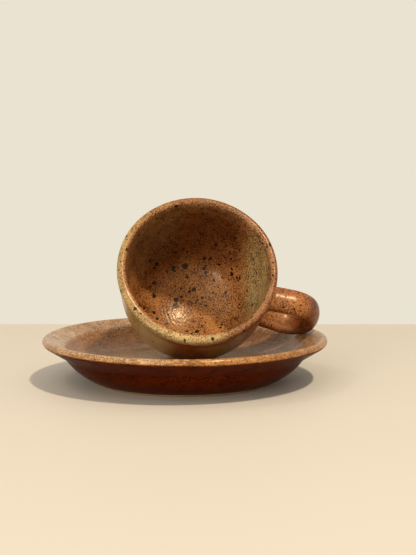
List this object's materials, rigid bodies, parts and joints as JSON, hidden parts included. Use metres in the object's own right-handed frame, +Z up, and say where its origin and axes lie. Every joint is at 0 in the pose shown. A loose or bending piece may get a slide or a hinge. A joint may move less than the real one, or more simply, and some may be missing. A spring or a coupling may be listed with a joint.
{
  "type": "coffee cup with saucer",
  "caption": "Round stoneware coffee cup with a looped strap handle, lying on its side in a deep saucer with a sloping flange; the cup lifts off.",
  "frame": {"origin": "centre of the saucer's foot ring, on the table", "axes": "+Z up along the saucer's axis; the cup's mouth opens towards -Y; the handle points towards +X"},
  "size_m": [0.15, 0.15, 0.0956],
  "materials": {
    "saucer_glaze": "satin iron-brown glaze, tan on the flange",
    "cup_glaze": "satin iron-brown glaze with dark iron specks",
    "handle_glaze": "satin rust-brown glaze"
  },
  "bodies": {
    "saucer": {"saucer": "saucer_glaze"},
    "cup": {"cup_bowl": "cup_glaze", "cup_handle": "handle_glaze", "handle_slip_upper": "handle_glaze", "handle_slip_lower": "handle_glaze"}
  },
  "joints": [
    {"name": "cup_lift", "type": "slide", "parent": "saucer", "child": "cup", "axis": [0, 0, 1], "range_m": [0, 0.1]}
  ]
}
